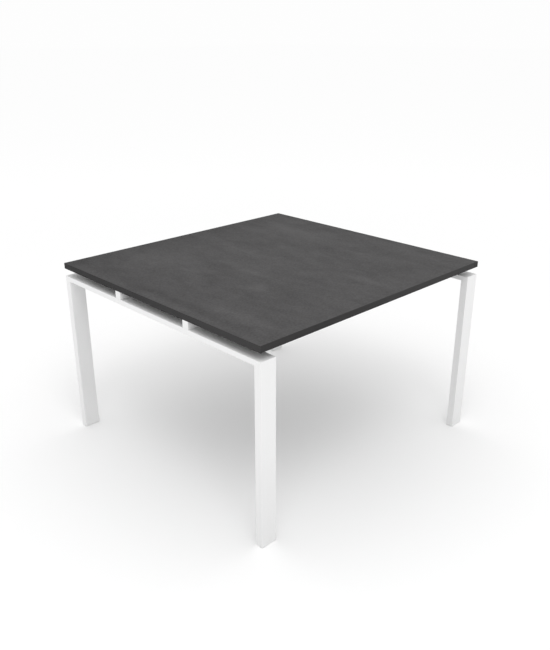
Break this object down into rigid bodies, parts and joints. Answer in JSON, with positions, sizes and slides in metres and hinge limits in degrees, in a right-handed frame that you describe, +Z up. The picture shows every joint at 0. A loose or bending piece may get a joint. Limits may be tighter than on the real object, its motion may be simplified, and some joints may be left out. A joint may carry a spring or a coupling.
{
  "type": "conference table",
  "caption": "Square-cornered conference table: a thin dark laminate top on rails, floating above two white portal frames with levelling feet.",
  "frame": {"origin": "on the floor, under the middle of the top", "axes": "+X along the rails, +Y along the portal beams towards the back, +Z up"},
  "size_m": [1.2, 1.142, 0.736],
  "materials": {
    "grey_laminate": "dark grey laminate with a faint brushed grain",
    "grey_edge": "dark grey edge band, fine matt",
    "chipboard": "raw chipboard",
    "white_steel": "white powder coat, fine satin",
    "white_plastic": "white moulded plastic",
    "zinc_steel": "bright zinc plate",
    "black_plastic": "black moulded plastic"
  },
  "bodies": {
    "table": {"worktop_core": "chipboard", "worktop_laminate": "grey_laminate", "worktop_backing": "grey_laminate", "edge_band_front": "grey_edge", "edge_band_back": "grey_edge", "edge_band_left": "grey_edge", "edge_band_right": "grey_edge", "worktop_inserts": "zinc_steel", "rail_front": "white_steel", "rail_back": "white_steel", "rail_cap_front_left": "white_plastic", "rail_cap_back_left": "white_plastic", "rail_cap_front_right": "white_plastic", "rail_cap_back_right": "white_plastic", "rail_nuts": "zinc_steel", "rail_screws": "zinc_steel", "worktop_screws": "zinc_steel", "beam_left": "white_steel", "beam_right": "white_steel", "leg_front_left": "white_steel", "leg_back_left": "white_steel", "leg_front_right": "white_steel", "leg_back_right": "white_steel", "foot_plate_front_left": "white_steel", "foot_plate_back_left": "white_steel", "foot_plate_front_right": "white_steel", "foot_plate_back_right": "white_steel", "foot_nuts": "zinc_steel"},
    "pad_front_left": {"foot_pad_front_left": "black_plastic"},
    "stud_front_left": {"foot_stud_front_left": "zinc_steel"},
    "pad_back_left": {"foot_pad_back_left": "black_plastic"},
    "stud_back_left": {"foot_stud_back_left": "zinc_steel"},
    "pad_front_right": {"foot_pad_front_right": "black_plastic"},
    "stud_front_right": {"foot_stud_front_right": "zinc_steel"},
    "pad_back_right": {"foot_pad_back_right": "black_plastic"},
    "stud_back_right": {"foot_stud_back_right": "zinc_steel"}
  },
  "joints": [
    {"name": "level_front_left", "type": "slide", "parent": "table", "child": "pad_front_left", "axis": [0, 0, -1], "range_m": [0, 0.01]},
    {"name": "turn_front_left", "type": "hinge", "parent": "pad_front_left", "child": "stud_front_left", "pos_m": [-0.5675, -0.556, 0.02], "axis": [0, 0, -1], "range_deg": [0, 2880]},
    {"name": "level_back_left", "type": "slide", "parent": "table", "child": "pad_back_left", "axis": [0, 0, -1], "range_m": [0, 0.01]},
    {"name": "turn_back_left", "type": "hinge", "parent": "pad_back_left", "child": "stud_back_left", "pos_m": [-0.5675, 0.556, 0.02], "axis": [0, 0, -1], "range_deg": [0, 2880]},
    {"name": "level_front_right", "type": "slide", "parent": "table", "child": "pad_front_right", "axis": [0, 0, -1], "range_m": [0, 0.01]},
    {"name": "turn_front_right", "type": "hinge", "parent": "pad_front_right", "child": "stud_front_right", "pos_m": [0.5675, -0.556, 0.02], "axis": [0, 0, -1], "range_deg": [0, 2880]},
    {"name": "level_back_right", "type": "slide", "parent": "table", "child": "pad_back_right", "axis": [0, 0, -1], "range_m": [0, 0.01]},
    {"name": "turn_back_right", "type": "hinge", "parent": "pad_back_right", "child": "stud_back_right", "pos_m": [0.5675, 0.556, 0.02], "axis": [0, 0, -1], "range_deg": [0, 2880]}
  ],
  "couplings": [
    {"joint": "turn_front_left", "follows": "level_front_left", "rad_per_m": 5026.5},
    {"joint": "turn_back_left", "follows": "level_back_left", "rad_per_m": 5026.5},
    {"joint": "turn_front_right", "follows": "level_front_right", "rad_per_m": 5026.5},
    {"joint": "turn_back_right", "follows": "level_back_right", "rad_per_m": 5026.5}
  ]
}
